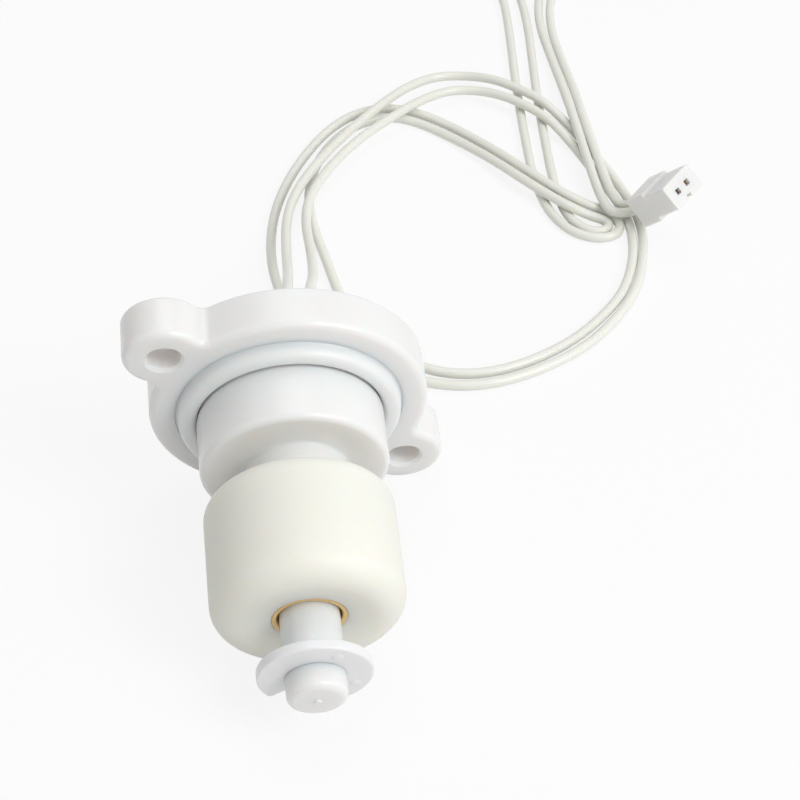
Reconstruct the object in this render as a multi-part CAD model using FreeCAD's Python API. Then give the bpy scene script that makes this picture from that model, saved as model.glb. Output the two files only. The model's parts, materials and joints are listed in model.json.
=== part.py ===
"""Float level switch: flanged plastic body, sliding float, reed contact, two wires and a plug.

Sizes are in millimetres. The switch is modelled upright in its own working frame, with the axis of
the stem along Z, the face that seats on the tank lid at Z = 0 and the tip of the stem upwards, and
it is then laid on its side. The finished frame has the table at Z = 0, with the origin under the
middle of the switch's box and the tip towards -Y.
"""

import FreeCAD, Part
import math
import os

V = FreeCAD.Vector
X_AXIS = V(1, 0, 0)
Y_AXIS = V(0, 1, 0)
Z_AXIS = V(0, 0, 1)

# Flange and ears
flange_radius = 19.5
flange_thickness = 6.5
flange_front_round = 1.0
flange_back_round = 0.4
ear_offset = 21.5
ear_radius = 5.65
ear_valley_radius = 1.6
screw_hole_radius = 2.3
screw_hole_bevel = 0.45

# Spigot, neck and stem
spigot_radius = 13.05
spigot_length = 10.25
spigot_round = 0.9
neck_radius = 7.3
neck_length = 2.65
neck_round = 0.45
inner_corner_round = 0.35
stem_radius = 4.0
stem_beyond_neck = 32.3
tip_round = 1.0
gate_nub_radius = 0.5
gate_nub_height = 0.25

# Hollows in the body
spigot_wall = 2.45
spigot_end_wall = 2.55
well_corner_round = 0.8
stem_wall = 1.4
reed_end_room = 1.0

# Seal ring, its groove in the flange face and its seat round the spigot's foot
seal_seat_depth = 0.2
seal_seat_height = 1.9
seal_cord_radius = 1.4
seal_groove_depth = 0.75
seal_groove_side_gap = 0.3
seal_fit = 0.02

# Retaining clip and its groove in the stem
clip_outer_radius = 7.6
clip_thickness = 1.5
clip_groove_depth = 1.0
clip_groove_width = 1.6
clip_face_from_tip = 5.0
clip_mouth_degrees = 84.0
clip_mouth_heading_degrees = 300.0
clip_corner_round = 0.7
clip_edge_round = 0.3
clip_fit = 0.03
clip_bump_radius = 0.8
clip_bump_height = 0.18
clip_bump_headings_degrees = (75.0, 160.0)

# Float
float_radius = 13.0
float_length = 18.7
float_from_neck = 2.4
float_top_round = 2.6
float_end_round = 3.6
float_rim_width = 4.0
float_dish_depth = 0.8
mouth_round = 0.5

# Magnet and the resin that lines the float's bore
magnet_wall = 2.6
magnet_length = 5.5
magnet_from_float_start = 2.6
magnet_fit = 0.05
float_running_gap = 0.5
resin_wall = 0.45
resin_recess = 0.6

# Reed contact
glass_radius = 1.15
glass_length = 14.0
glass_from_float_start = 2.7
glass_offset = -1.15
glass_wall = 0.3
glass_seal_length = 2.0
blade_width = 1.1
blade_thickness = 0.26
blade_overlap = 1.2
blade_gap = 0.12
blade_lead_radius = 0.28

# Wires and resin in the body
wire_radius = 0.825
conductor_radius = 0.33
wire_offset = 1.1
potting_recess = 1.0
short_lead_beyond_well = 0.8
short_bare_length = 3.1
upper_lap_offset = -0.45
upper_lap_beyond_well = 1.5
long_lead_beyond_glass = 0.7
lower_lap_beyond_glass = 5.0
lower_lap_offset = 0.32
solder_radius = 0.78
solder_length = 1.9
sleeve_wall = 0.16
sleeve_length = 2.6

# Plug
plug_width = 7.2
plug_length = 9.8
plug_rear_thickness = 5.6
plug_front_thickness = 4.4
plug_step_from_rear = 4.4
plug_edge_bevel = 0.25
plug_key_slot_width = 1.1
plug_key_slot_depth = 0.7
contact_pitch = 2.5
cavity_side = 1.9
cavity_front_wall = 0.9
pin_hole_side = 1.0
contact_side = 1.7
contact_box_length = 4.8
contact_socket_side = 0.9
contact_front_gap = 0.05
crimp_wall = 0.24
crimp_start = 0.6
crimp_fit = 0.01

# Where the plug lies: middle of its rear face, the way its mouth points and the way its row runs
plug_rear = V(64.2, 75.6, 5.4)
plug_heading = V(0.409, -0.560, 0.720)
plug_row = V(0.697, 0.701, 0.150)

# Routes of the two wires over the table, from behind the flange to behind the plug
wire_exit_run = 8.0
plug_entry_run = 3.2
route_one = [
    (1.3, 39.5, 20.6), (2.0, 49.5, 15.8), (2.5, 59.1, 9.8), (2.8, 69.5, 5.6), (3.4, 79.5, 3.6),
    (5.4, 87.8, 3.0), (9.9, 96.3, 2.9), (15.7, 104.3, 2.9), (21.3, 110.8, 2.9), (27.3, 117.2, 2.7),
    (33.6, 122.0, 1.8), (39.4, 122.0, 1.6), (44.2, 118.8, 2.7), (48.4, 114.9, 2.9), (52.2, 110.8, 2.8),
    (55.3, 106.0, 1.6), (57.8, 100.2, 0.9), (59.8, 93.8, 0.9), (61.4, 87.0, 0.9), (62.4, 79.8, 0.9),
    (62.5, 72.4, 0.9),
    (61.3, 65.4, 0.9), (58.8, 58.3, 0.9), (54.4, 51.6, 0.9), (48.7, 45.9, 0.9), (41.6, 41.7, 0.9),
    (33.6, 38.9, 0.9), (26.1, 38.9, 0.9), (18.7, 42.0, 0.9), (11.7, 47.2, 0.9), (5.8, 53.6, 0.9),
    (2.0, 60.8, 0.9), (0.5, 69.0, 0.9), (0.5, 77.6, 0.9), (1.9, 86.2, 0.9), (4.7, 94.4, 0.9),
    (8.4, 101.8, 0.9), (12.8, 108.4, 0.9), (17.9, 113.0, 0.9), (24.0, 114.6, 0.9), (30.0, 112.0, 0.9),
    (35.9, 106.4, 0.9), (41.4, 99.4, 1.6), (46.4, 91.2, 2.9), (51.0, 85.2, 2.9), (55.4, 81.6, 1.7),
    (58.1, 77.6, 0.9), (57.2, 73.3, 0.9), (52.6, 72.4, 0.9), (48.9, 76.0, 0.9), (47.7, 82.6, 0.9),
    (47.4, 92.0, 0.9), (47.7, 101.0, 0.9), (48.2, 110.6, 0.9), (48.9, 121.0, 0.9), (49.9, 132.4, 0.9),
    (50.8, 144.4, 0.9), (50.7, 154.0, 0.9), (50.3, 161.8, 0.9), (50.5, 168.3, 0.9), (55.2, 173.0, 0.9),
    (61.8, 173.0, 0.9), (66.5, 168.3, 0.9), (66.4, 160.8, 0.9), (63.4, 154.6, 0.9), (59.8, 147.0, 0.9),
    (58.2, 136.8, 0.9), (58.5, 124.8, 1.2), (58.7, 114.0, 2.3), (58.9, 104.6, 2.9), (59.3, 96.4, 2.9),
    (59.5, 89.4, 2.9), (60.0, 83.6, 2.9), (60.6, 79.4, 2.8),
]
route_two = [
    (4.0, 39.0, 19.9), (5.6, 49.0, 15.2), (6.5, 58.6, 9.6), (6.8, 69.2, 5.5), (6.6, 79.2, 3.6),
    (8.0, 87.2, 3.0), (12.0, 94.8, 2.9), (17.6, 102.2, 2.9), (23.4, 107.6, 2.9), (29.4, 112.6, 2.9),
    (35.4, 116.4, 2.4), (40.8, 116.2, 2.2), (45.2, 113.2, 2.8), (49.0, 109.4, 2.9), (52.4, 105.2, 2.7),
    (55.1, 100.4, 1.5), (57.2, 94.6, 0.9), (58.8, 88.6, 0.9), (59.9, 82.4, 0.9), (60.5, 76.0, 0.9),
    (60.3, 69.8, 0.9),
    (59.2, 64.6, 0.9), (56.4, 58.2, 0.9), (52.4, 52.6, 0.9), (47.2, 47.8, 0.9), (40.9, 44.0, 0.9),
    (33.7, 41.5, 0.9), (26.9, 41.5, 0.9), (20.8, 44.4, 0.9), (15.8, 49.6, 0.9), (12.4, 56.4, 0.9),
    (10.6, 64.0, 0.9), (9.5, 72.0, 0.9), (8.2, 80.0, 0.9), (7.7, 88.0, 0.9), (9.0, 95.6, 0.9),
    (11.4, 101.6, 0.9), (14.9, 106.8, 0.9), (19.4, 110.4, 0.9), (24.6, 111.6, 0.9), (29.4, 109.2, 0.9),
    (34.4, 104.2, 0.9), (39.4, 97.6, 1.6), (44.2, 90.0, 2.9), (48.4, 84.6, 2.9), (52.4, 81.4, 2.6),
    (55.6, 78.5, 1.3), (55.4, 75.4, 0.9), (52.7, 74.4, 0.9), (50.7, 77.1, 0.9), (50.3, 81.8, 0.9),
    (50.6, 88.8, 0.9), (50.9, 96.4, 0.9), (51.4, 105.2, 0.9), (52.0, 115.0, 0.9), (53.0, 126.0, 0.9),
    (54.0, 137.4, 0.9), (54.4, 147.4, 0.9), (53.5, 154.8, 0.9), (52.8, 161.0, 0.9), (52.9, 167.3, 0.9),
    (56.2, 170.6, 0.9), (60.8, 170.6, 0.9), (64.1, 167.3, 0.9), (64.0, 161.4, 0.9), (60.8, 155.2, 0.9),
    (57.6, 147.8, 0.9), (56.3, 138.4, 0.9), (56.6, 127.6, 1.0), (56.8, 116.8, 2.0), (56.9, 106.8, 2.9),
    (57.1, 97.4, 2.9), (57.2, 89.0, 2.9), (57.4, 82.0, 2.9), (57.9, 77.8, 2.9),
]

# Places along the axis that follow from the sizes above
neck_end = spigot_length + neck_length
stem_length = neck_end + stem_beyond_neck
float_start = neck_end + float_from_neck
float_end = float_start + float_length
clip_groove_start = stem_length - clip_face_from_tip
well_floor = spigot_length - spigot_end_wall
potting_face = potting_recess - flange_thickness
magnet_start = float_start + magnet_from_float_start
magnet_end = magnet_start + magnet_length
glass_start = float_start + glass_from_float_start
glass_end = glass_start + glass_length
blade_middle = glass_start + glass_length / 2
short_lead_end = well_floor + short_lead_beyond_well
short_conductor_end = short_lead_end + short_bare_length
upper_lap_start = well_floor + upper_lap_beyond_well
long_lead_end = glass_end + long_lead_beyond_glass
lower_lap_end = glass_end + lower_lap_beyond_glass
stem_bore_end = lower_lap_end + reed_end_room

# Radii that follow from the sizes above
well_radius = spigot_radius - spigot_wall
seal_seat_radius = spigot_radius - seal_seat_depth
stem_bore_radius = stem_radius - stem_wall
clip_groove_radius = stem_radius - clip_groove_depth
resin_bore_radius = stem_radius + float_running_gap
float_bore_radius = resin_bore_radius + resin_wall
float_dish_radius = float_radius - float_rim_width
magnet_inner_radius = float_bore_radius + magnet_fit
magnet_outer_radius = magnet_inner_radius + magnet_wall


def corner_arc(before, corner, after, radius):
    """Tangent points and middle point of the arc that rounds one corner."""
    back = (before - corner).normalize()
    ahead = (after - corner).normalize()
    half = back.getAngle(ahead) / 2
    reach = radius / math.tan(half)
    middle = corner + (back + ahead).normalize() * (radius / math.sin(half) - radius)
    return corner + back * reach, middle, corner + ahead * reach


def rounded_outline(corners):
    """Closed wire in the XZ plane through (x, z, rounding) corners."""
    points = [V(x, 0, z) for x, z, _ in corners]
    edges = []
    last = None
    first = None
    for index, (_, _, radius) in enumerate(corners):
        here = points[index]
        if radius > 0:
            following = points[(index + 1) % len(points)]
            start, middle, end = corner_arc(points[index - 1], here, following, radius)
        else:
            start, end = here, here
        if last is not None:
            edges.append(Part.LineSegment(last, start).toShape())
        else:
            first = start
        if radius > 0:
            edges.append(Part.Arc(start, middle, end).toShape())
        last = end
    edges.append(Part.LineSegment(last, first).toShape())
    return Part.Wire(edges)


def turned(corners):
    """Solid of revolution about Z with the given half section."""
    return Part.Face(rounded_outline(corners)).revolve(V(0, 0, 0), Z_AXIS, 360)


def rod(radius, start, end, x=0.0, y=0.0):
    """Round bar along Z between two heights."""
    return Part.makeCylinder(radius, end - start, V(x, y, start))


def ring(outer, inner, start, end, x=0.0):
    """Plain tube along Z between two heights."""
    return rod(outer, start, end, x).cut(rod(inner, start - 1, end + 1, x))


def block(width, depth, start, end, x=0.0, y=0.0):
    """Box centred on (x, y) between two heights."""
    return Part.makeBox(width, depth, end - start, V(x - width / 2, y - depth / 2, start))


def rounded_path(points):
    """Straight runs joined by tangent arcs, with the radius of each arc."""
    edges = []
    radii = []
    last = points[0]
    for before, here, after in zip(points, points[1:], points[2:]):
        turn = (here - before).getAngle(after - here)
        run = min((here - before).Length, (after - here).Length)
        radius = 0.45 * run / math.tan(turn / 2)
        start, middle, end = corner_arc(before, here, after, radius)
        edges.append(Part.LineSegment(last, start).toShape())
        edges.append(Part.Arc(start, middle, end).toShape())
        radii.append(radius)
        last = end
    edges.append(Part.LineSegment(last, points[-1]).toShape())
    return Part.Wire(edges), radii


def tube(points, radius):
    """Round bar that follows a path of runs and arcs, with its path and arc radii."""
    path, radii = rounded_path(points)
    section = Part.Wire([Part.Circle(points[0], points[1] - points[0], radius).toShape()])
    return path.makePipeShell([section], True, False), path, radii


def flange_outline():
    """Disc with two round ears on X, joined by small concave arcs."""
    reach = flange_radius + ear_valley_radius
    span = ear_radius + ear_valley_radius
    cosine = (reach**2 + ear_offset**2 - span**2) / (2 * reach * ear_offset)
    valley_angle = math.acos(cosine)
    edges = []
    for side in (1, -1):
        ear = V(side * ear_offset, 0, 0)
        tangents = []
        for up in (-side, side):
            valley = V(side * reach * math.cos(valley_angle), up * reach * math.sin(valley_angle), 0)
            on_disc = valley * (flange_radius / reach)
            on_ear = ear + (valley - ear) * (ear_radius / span)
            inward = ((on_disc - valley).normalize() + (on_ear - valley).normalize()).normalize()
            tangents.append((on_disc, valley + inward * ear_valley_radius, on_ear))
        (disc_a, middle_a, ear_a), (disc_b, middle_b, ear_b) = tangents
        edges.append(Part.Arc(disc_a, middle_a, ear_a).toShape())
        edges.append(Part.Arc(ear_a, ear + V(side * ear_radius, 0, 0), ear_b).toShape())
        edges.append(Part.Arc(ear_b, middle_b, disc_b).toShape())
        next_disc = V(-disc_a.x, -disc_a.y, 0)
        edges.append(Part.Arc(disc_b, V(0, side * flange_radius, 0), next_disc).toShape())
    return Part.Wire(edges)


def flange_plate():
    """Flange with ears, rounded at both rims, and its screw holes."""
    outline = flange_outline()
    outline.translate(V(0, 0, -flange_thickness))
    plate = Part.Face(outline).extrude(V(0, 0, flange_thickness))
    front = [edge for edge in plate.Edges if edge.BoundBox.ZMin > -1e-6]
    plate = plate.makeFillet(flange_front_round, front)
    back = [edge for edge in plate.Edges if edge.BoundBox.ZMax < 1e-6 - flange_thickness]
    plate = plate.makeFillet(flange_back_round, back)
    for side in (1, -1):
        x = side * ear_offset
        hole = rod(screw_hole_radius, -flange_thickness - 1, 1, x)
        lip = Part.makeCone(
            screw_hole_radius, screw_hole_radius + 2 * screw_hole_bevel, 2 * screw_hole_bevel,
            V(x, 0, -screw_hole_bevel),
        )
        plate = plate.cut(hole.fuse(lip))
    return plate


def shaft():
    """Spigot, neck and stem as one turned form, with the gate nub on the tip."""
    root = -flange_thickness / 2
    groove_end = clip_groove_start + clip_groove_width
    return turned([
        (0, root, 0),
        (spigot_radius, root, 0),
        (spigot_radius, spigot_length, spigot_round),
        (neck_radius, spigot_length, inner_corner_round),
        (neck_radius, neck_end, neck_round),
        (stem_radius, neck_end, inner_corner_round),
        (stem_radius, clip_groove_start, 0),
        (clip_groove_radius, clip_groove_start, 0),
        (clip_groove_radius, groove_end, 0),
        (stem_radius, groove_end, 0),
        (stem_radius, stem_length, tip_round),
        (gate_nub_radius, stem_length, 0),
        (gate_nub_radius, stem_length + gate_nub_height, gate_nub_height / 2),
        (0, stem_length + gate_nub_height, 0),
    ])


def body_hollow():
    """Resin well in the back and the blind bore of the stem."""
    return turned([
        (0, -flange_thickness - 1, 0),
        (well_radius, -flange_thickness - 1, 0),
        (well_radius, well_floor, well_corner_round),
        (stem_bore_radius, well_floor, 0),
        (stem_bore_radius, stem_bore_end, inner_corner_round),
        (0, stem_bore_end, 0),
    ])


def flange_body():
    """The switch's one-piece moulding."""
    seal_outer = seal_seat_radius + 2 * seal_cord_radius + seal_groove_side_gap
    seal_groove = ring(seal_outer, seal_seat_radius, -seal_groove_depth, seal_seat_height)
    return flange_plate().fuse(shaft()).removeSplitter().cut(seal_groove).cut(body_hollow())


def seal_ring():
    """Rubber ring at the bottom of the groove, held in its seat round the foot of the spigot."""
    middle = seal_seat_radius + seal_cord_radius + seal_fit
    return Part.makeTorus(middle, seal_cord_radius, V(0, 0, seal_cord_radius - seal_groove_depth))


def retaining_clip():
    """Open ring that snaps into the stem's groove, with two small ejector bumps."""
    start = clip_groove_start + (clip_groove_width - clip_thickness) / 2
    end = start + clip_thickness
    half_mouth = math.radians(clip_mouth_degrees / 2)
    inner = clip_groove_radius + clip_fit
    reach = 2 * clip_outer_radius
    mouth = Part.Face(Part.makePolygon([
        V(0, 0, start - 1),
        V(reach * math.cos(half_mouth), -reach * math.sin(half_mouth), start - 1),
        V(reach * math.cos(half_mouth), reach * math.sin(half_mouth), start - 1),
        V(0, 0, start - 1),
    ])).extrude(V(0, 0, clip_thickness + 2))
    clip = ring(clip_outer_radius, inner, start, end).cut(mouth)
    upright = [e for e in clip.Edges if e.BoundBox.ZLength > clip_thickness / 2 and len(e.Vertexes) == 2]
    outer_corners = [e for e in upright if math.hypot(e.CenterOfMass.x, e.CenterOfMass.y) > inner + 1]
    clip = clip.makeFillet(clip_corner_round, outer_corners)
    rims = [
        e for e in clip.Edges
        if e.BoundBox.ZLength < 1e-6 and math.hypot(*e.valueAt(e.FirstParameter)[:2]) > inner + 0.1
        and math.hypot(*e.valueAt(e.LastParameter)[:2]) > inner + 0.1
    ]
    clip = clip.makeFillet(clip_edge_round, rims)
    bump_path = (inner + clip_outer_radius) / 2 + clip_edge_round
    dome_radius = (clip_bump_radius**2 + clip_bump_height**2) / (2 * clip_bump_height)
    for heading in clip_bump_headings_degrees:
        x = bump_path * math.cos(math.radians(heading))
        y = bump_path * math.sin(math.radians(heading))
        dome = Part.makeSphere(dome_radius, V(x, y, end + clip_bump_height - dome_radius))
        slab = rod(clip_bump_radius + clip_edge_round, end - clip_bump_height, end + 1, x, y)
        clip = clip.fuse(dome.common(slab))
    clip.rotate(V(0, 0, 0), Z_AXIS, clip_mouth_heading_degrees)
    return clip


def float_shell():
    """Foamed float with rounded ends, a shallow dish round its mouth and a pocket for the magnet."""
    pocket = magnet_outer_radius + magnet_fit
    pocket_end = magnet_end + magnet_fit
    return turned([
        (pocket, float_start, mouth_round),
        (float_radius, float_start, float_top_round),
        (float_radius, float_end, float_end_round),
        (float_dish_radius, float_end, 0),
        (float_bore_radius, float_end - float_dish_depth, mouth_round),
        (float_bore_radius, pocket_end, 0),
        (pocket, pocket_end, 0),
    ])


def float_magnet():
    """Ring magnet in the float's pocket."""
    return ring(magnet_outer_radius, magnet_inner_radius, magnet_start, magnet_end)


def float_resin():
    """Resin that lines the float's bore and closes the pocket over the magnet."""
    lining = float_bore_radius
    fill_end = magnet_start - magnet_fit
    return turned([
        (resin_bore_radius, float_start + resin_recess, 0),
        (magnet_outer_radius + magnet_fit, float_start + resin_recess, 0),
        (magnet_outer_radius + magnet_fit, fill_end, 0),
        (lining, fill_end, 0),
        (lining, float_end - float_dish_depth - resin_recess, 0),
        (resin_bore_radius, float_end - float_dish_depth - resin_recess, 0),
    ])


def reed_blades():
    """The two flat blades with their round leads, each bent to its solder joint."""
    half = blade_overlap / 2
    seat = blade_thickness / 2 + blade_gap / 2
    upper_points = [
        V(glass_offset, 0, blade_middle - half - blade_overlap),
        V(glass_offset, 0, glass_start - 2.6),
        V(upper_lap_offset, 0, glass_start - 4.4),
        V(upper_lap_offset, 0, upper_lap_start),
    ]
    lower_points = [
        V(glass_offset, 0, blade_middle + half + blade_overlap),
        V(glass_offset, 0, glass_end + 0.9),
        V(-lower_lap_offset, 0, glass_end + 2.3),
        V(-lower_lap_offset, 0, lower_lap_end),
    ]
    upper = tube(upper_points, blade_lead_radius)[0]
    lower = tube(lower_points, blade_lead_radius)[0]
    root = blade_overlap + glass_wall
    upper_blade = block(
        blade_width, blade_thickness, blade_middle - half - root, blade_middle + half, glass_offset, seat)
    lower_blade = block(
        blade_width, blade_thickness, blade_middle - half, blade_middle + half + root, glass_offset, -seat)
    return upper.fuse(upper_blade), lower.fuse(lower_blade)


def reed_glass(upper_blade, lower_blade):
    """Glass tube with closed ends sealed round the leads."""
    cavity_start = glass_start + glass_seal_length
    cavity_end = glass_end - glass_seal_length
    cavity = rod(glass_radius - glass_wall, cavity_start, cavity_end, glass_offset)
    glass = rod(glass_radius, glass_start, glass_end, glass_offset)
    rims = [edge for edge in glass.Edges if edge.BoundBox.ZLength < 1e-6]
    glass = glass.makeFillet(2 * glass_wall, rims).cut(cavity)
    return glass.cut(upper_blade).cut(lower_blade)


def inner_leads():
    """The wires' ends inside the body, with their bared conductors."""
    short = rod(wire_radius, potting_face, short_lead_end, -wire_offset)
    short = short.fuse(rod(conductor_radius, short_lead_end, short_conductor_end, -wire_offset))
    bare_points = [
        V(wire_offset, 0, long_lead_end - 1),
        V(wire_offset, 0, long_lead_end + 0.3),
        V(lower_lap_offset, 0, long_lead_end + 1.5),
        V(lower_lap_offset, 0, lower_lap_end),
    ]
    bare = tube(bare_points, conductor_radius)[0]
    long = rod(wire_radius, potting_face, long_lead_end, wire_offset).fuse(bare)
    return short, long


def solder_joint(x, start, inserts):
    """Rounded drop of solder round the pieces it joins."""
    drop = rod(solder_radius, start, start + solder_length, x)
    drop = drop.makeFillet(solder_radius / 2, [e for e in drop.Edges if e.BoundBox.ZLength < 1e-6])
    for piece in inserts:
        drop = drop.cut(piece)
    return drop


def shrink_sleeve(x, solder_start):
    """Thin sleeve that is longer than the solder drop at both ends."""
    spare = (sleeve_length - solder_length) / 2
    start = solder_start - spare
    return ring(solder_radius + sleeve_wall, solder_radius, start, start + sleeve_length, x)


def back_potting(leads):
    """Resin that fills the well round the two wires."""
    potting = turned([
        (0, potting_face, 0),
        (well_radius, potting_face, 0),
        (well_radius, well_floor, well_corner_round),
        (0, well_floor, 0),
    ])
    for lead in leads:
        potting = potting.cut(lead)
    return potting


def plug_housing():
    """Two-way plug housing with a thicker rear, a key slot and two stepped cavities."""
    rear = block(plug_width, plug_rear_thickness, 0, plug_step_from_rear)
    front = block(plug_width, plug_front_thickness, plug_step_from_rear / 2, plug_length)
    housing = rear.fuse(front).removeSplitter()
    long_edges = [
        edge for edge in housing.Edges
        if edge.BoundBox.ZLength > 1 and abs(edge.BoundBox.XMin) > plug_width / 2 - 1e-6
    ]
    housing = housing.makeChamfer(plug_edge_bevel, long_edges)
    slot_y = -plug_front_thickness / 2
    housing = housing.cut(block(
        plug_key_slot_width, 2 * plug_key_slot_depth, plug_step_from_rear, plug_length + 1, 0, slot_y))
    for side in (1, -1):
        x = side * contact_pitch / 2
        cavity = block(cavity_side, cavity_side, -1, plug_length - cavity_front_wall, x)
        hole = block(pin_hole_side, pin_hole_side, 0, plug_length + 1, x)
        housing = housing.cut(cavity.fuse(hole))
    return housing


def plug_contact(side):
    """Crimped socket contact on one side of the plug."""
    x = side * contact_pitch / 2
    front = plug_length - cavity_front_wall - contact_front_gap
    box_start = front - contact_box_length
    bore = conductor_radius + crimp_fit
    box = block(contact_side, contact_side, box_start, front, x)
    socket = block(contact_socket_side, contact_socket_side, box_start + crimp_wall, front + 1, x)
    barrel = ring(bore + crimp_wall, bore, crimp_start, box_start, x)
    return box.cut(socket).fuse(barrel)


def bare_end(side):
    """Bared conductor of one wire, in the crimp of its contact."""
    x = side * contact_pitch / 2
    end = plug_length - cavity_front_wall - contact_front_gap - contact_box_length
    return rod(conductor_radius, 0, end, x)


def lying_tilt():
    """Nose-down angle at which the flange's rim and the float's end rest on one plane."""
    radial = (flange_radius - flange_front_round) - (float_radius - float_end_round)
    along = (float_end - float_end_round) + flange_front_round
    rounding = float_end_round - flange_front_round
    return math.acos(rounding / math.hypot(radial, along)) - math.atan2(along, radial)


def lying_placement(body):
    """Placement that lays the switch on rim, ear and float, with its box centred on the origin."""
    tilt = lying_tilt()
    roll = math.asin((flange_radius - ear_radius) / ear_offset)
    spin = FreeCAD.Rotation(Z_AXIS, -math.degrees(roll))
    lay = FreeCAD.Rotation(X_AXIS, 90 + math.degrees(tilt))
    rotation = lay.multiply(spin)
    box = body.transformed(FreeCAD.Placement(V(0, 0, 0), rotation).toMatrix()).optimalBoundingBox(False)
    height = (
        (flange_radius - flange_front_round) * math.cos(tilt)
        - flange_front_round * math.sin(tilt) + flange_front_round
    )
    shift = V(-(box.XMin + box.XMax) / 2, -(box.YMin + box.YMax) / 2, height)
    return FreeCAD.Placement(shift, rotation)


def plug_placement():
    """Placement of the plug, its Z along the mouth's heading and its X along the row of contacts."""
    heading = V(plug_heading).normalize()
    row = (plug_row - heading * plug_row.dot(heading)).normalize()
    return FreeCAD.Placement(plug_rear, FreeCAD.Rotation(row, heading.cross(row), heading, "ZXY"))


def wire_points(side, route, body_place, plug_place):
    """Route of one wire from the resin's face, along the table, to the plug's rear face."""
    exit_point = body_place.multVec(V(side * wire_offset, 0, potting_face))
    exit_turn = body_place.multVec(V(side * wire_offset, 0, potting_face - wire_exit_run))
    entry = plug_place.multVec(V(-side * contact_pitch / 2, 0, 0))
    entry_turn = plug_place.multVec(V(-side * contact_pitch / 2, 0, -plug_entry_run))
    return [exit_point, exit_turn] + [V(*point) for point in route] + [entry_turn, entry]


def placed(shape, placement):
    """Copy of a shape moved to its final place."""
    return shape.transformed(placement.toMatrix())


def build():
    """All pieces by node name, in the finished frame."""
    body = flange_body()
    upper_blade, lower_blade = reed_blades()
    short_lead, long_lead = inner_leads()
    upper_solder_start = (upper_lap_start + short_conductor_end - solder_length) / 2
    lower_solder_start = lower_lap_end - solder_length - 0.1
    upper_solder_x = (upper_lap_offset - wire_offset) / 2
    switch = {
        "flange_body": body,
        "seal_ring": seal_ring(),
        "retaining_clip": retaining_clip(),
        "back_potting": back_potting([short_lead, long_lead]),
        "reed_glass": reed_glass(upper_blade, lower_blade),
        "reed_blade_upper": upper_blade,
        "reed_blade_lower": lower_blade,
        "lead_solder_upper": solder_joint(upper_solder_x, upper_solder_start, [short_lead, upper_blade]),
        "lead_solder_lower": solder_joint(0, lower_solder_start, [long_lead, lower_blade]),
        "lead_sleeve_upper": shrink_sleeve(upper_solder_x, upper_solder_start),
        "lead_sleeve_lower": shrink_sleeve(0, lower_solder_start),
        "inner_lead_short": short_lead,
        "inner_lead_long": long_lead,
        "float_shell": float_shell(),
        "float_magnet": float_magnet(),
        "float_resin": float_resin(),
    }
    plug = {
        "plug_housing": plug_housing(),
        "plug_contact_one": plug_contact(1),
        "plug_contact_two": plug_contact(-1),
        "bare_end_one": bare_end(1),
        "bare_end_two": bare_end(-1),
    }
    body_place = lying_placement(body)
    plug_place = plug_placement()
    pieces = {name: placed(shape, body_place) for name, shape in switch.items()}
    pieces.update({name: placed(shape, plug_place) for name, shape in plug.items()})
    for name, side, route in (("wire_one", -1, route_one), ("wire_two", 1, route_two)):
        points = wire_points(side, route, body_place, plug_place)
        solid, path, radii = tube(points, wire_radius)
        pieces[name] = solid
        expected = math.pi * wire_radius**2 * path.Length
        print(name, "length", round(path.Length, 1), "volume over section x length",
              round(solid.Volume / expected, 5), "arc radii", [round(radius, 1) for radius in radii])
    print("tilt", round(math.degrees(lying_tilt()), 4), "placement", body_place)
    return pieces


os.makedirs("parts", exist_ok=True)
for node, piece in build().items():
    if not piece.isValid() or len(piece.Solids) != 1:
        print("check", node, piece.isValid(), len(piece.Solids))
    piece.exportStep("parts/" + node + ".step")
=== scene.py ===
# %% [markdown]
# # A float level switch
#
# The switch lies on its side on a pale table. Its flange, spigot and stem are one white moulding, a
# cream float slides on the stem, and two thin wires lie in loose loops behind it and end in a small
# plug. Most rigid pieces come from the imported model, already in place and to size, and only get their
# finishes here. The wires are laid as smooth curves. The float's foam, the seal, the resin's lip and
# the bared strands are made here from a few named sizes, because they show up close. Everything is
# in metres: Z is up, and the stem's tip points towards -Y.

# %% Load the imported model
import json
import math

import bmesh
import bpy
from mathutils import Matrix, Vector


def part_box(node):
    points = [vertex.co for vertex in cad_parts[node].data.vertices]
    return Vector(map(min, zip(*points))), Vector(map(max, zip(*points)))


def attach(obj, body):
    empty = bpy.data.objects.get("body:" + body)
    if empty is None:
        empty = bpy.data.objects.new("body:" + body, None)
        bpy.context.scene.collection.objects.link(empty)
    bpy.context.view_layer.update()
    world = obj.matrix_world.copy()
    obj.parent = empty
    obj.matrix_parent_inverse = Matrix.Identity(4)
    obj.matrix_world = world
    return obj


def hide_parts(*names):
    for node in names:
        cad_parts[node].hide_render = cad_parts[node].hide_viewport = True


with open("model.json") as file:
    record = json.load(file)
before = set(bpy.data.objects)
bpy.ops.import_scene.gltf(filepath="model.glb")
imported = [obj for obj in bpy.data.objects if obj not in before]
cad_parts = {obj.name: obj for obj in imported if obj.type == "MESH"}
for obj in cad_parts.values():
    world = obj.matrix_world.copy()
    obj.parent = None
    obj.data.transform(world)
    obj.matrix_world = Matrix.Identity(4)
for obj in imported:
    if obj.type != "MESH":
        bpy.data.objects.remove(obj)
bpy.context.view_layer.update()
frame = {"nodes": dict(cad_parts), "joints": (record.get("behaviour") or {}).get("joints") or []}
nodes = frame["nodes"]

# %% [markdown]
# The switch's own axis is the line that the float slides along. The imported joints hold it, so
# anything that has to sit square to the stem takes its direction from here.

# %% Find the stem's axis
joints = {joint["name"]: joint for joint in frame["joints"]}
tip_way = Vector(joints["float_slide"]["axis"]).normalized()
axis_point = Vector(joints["float_spin"]["pos_m"])
print("towards the tip", [round(c, 4) for c in tip_way])

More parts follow.
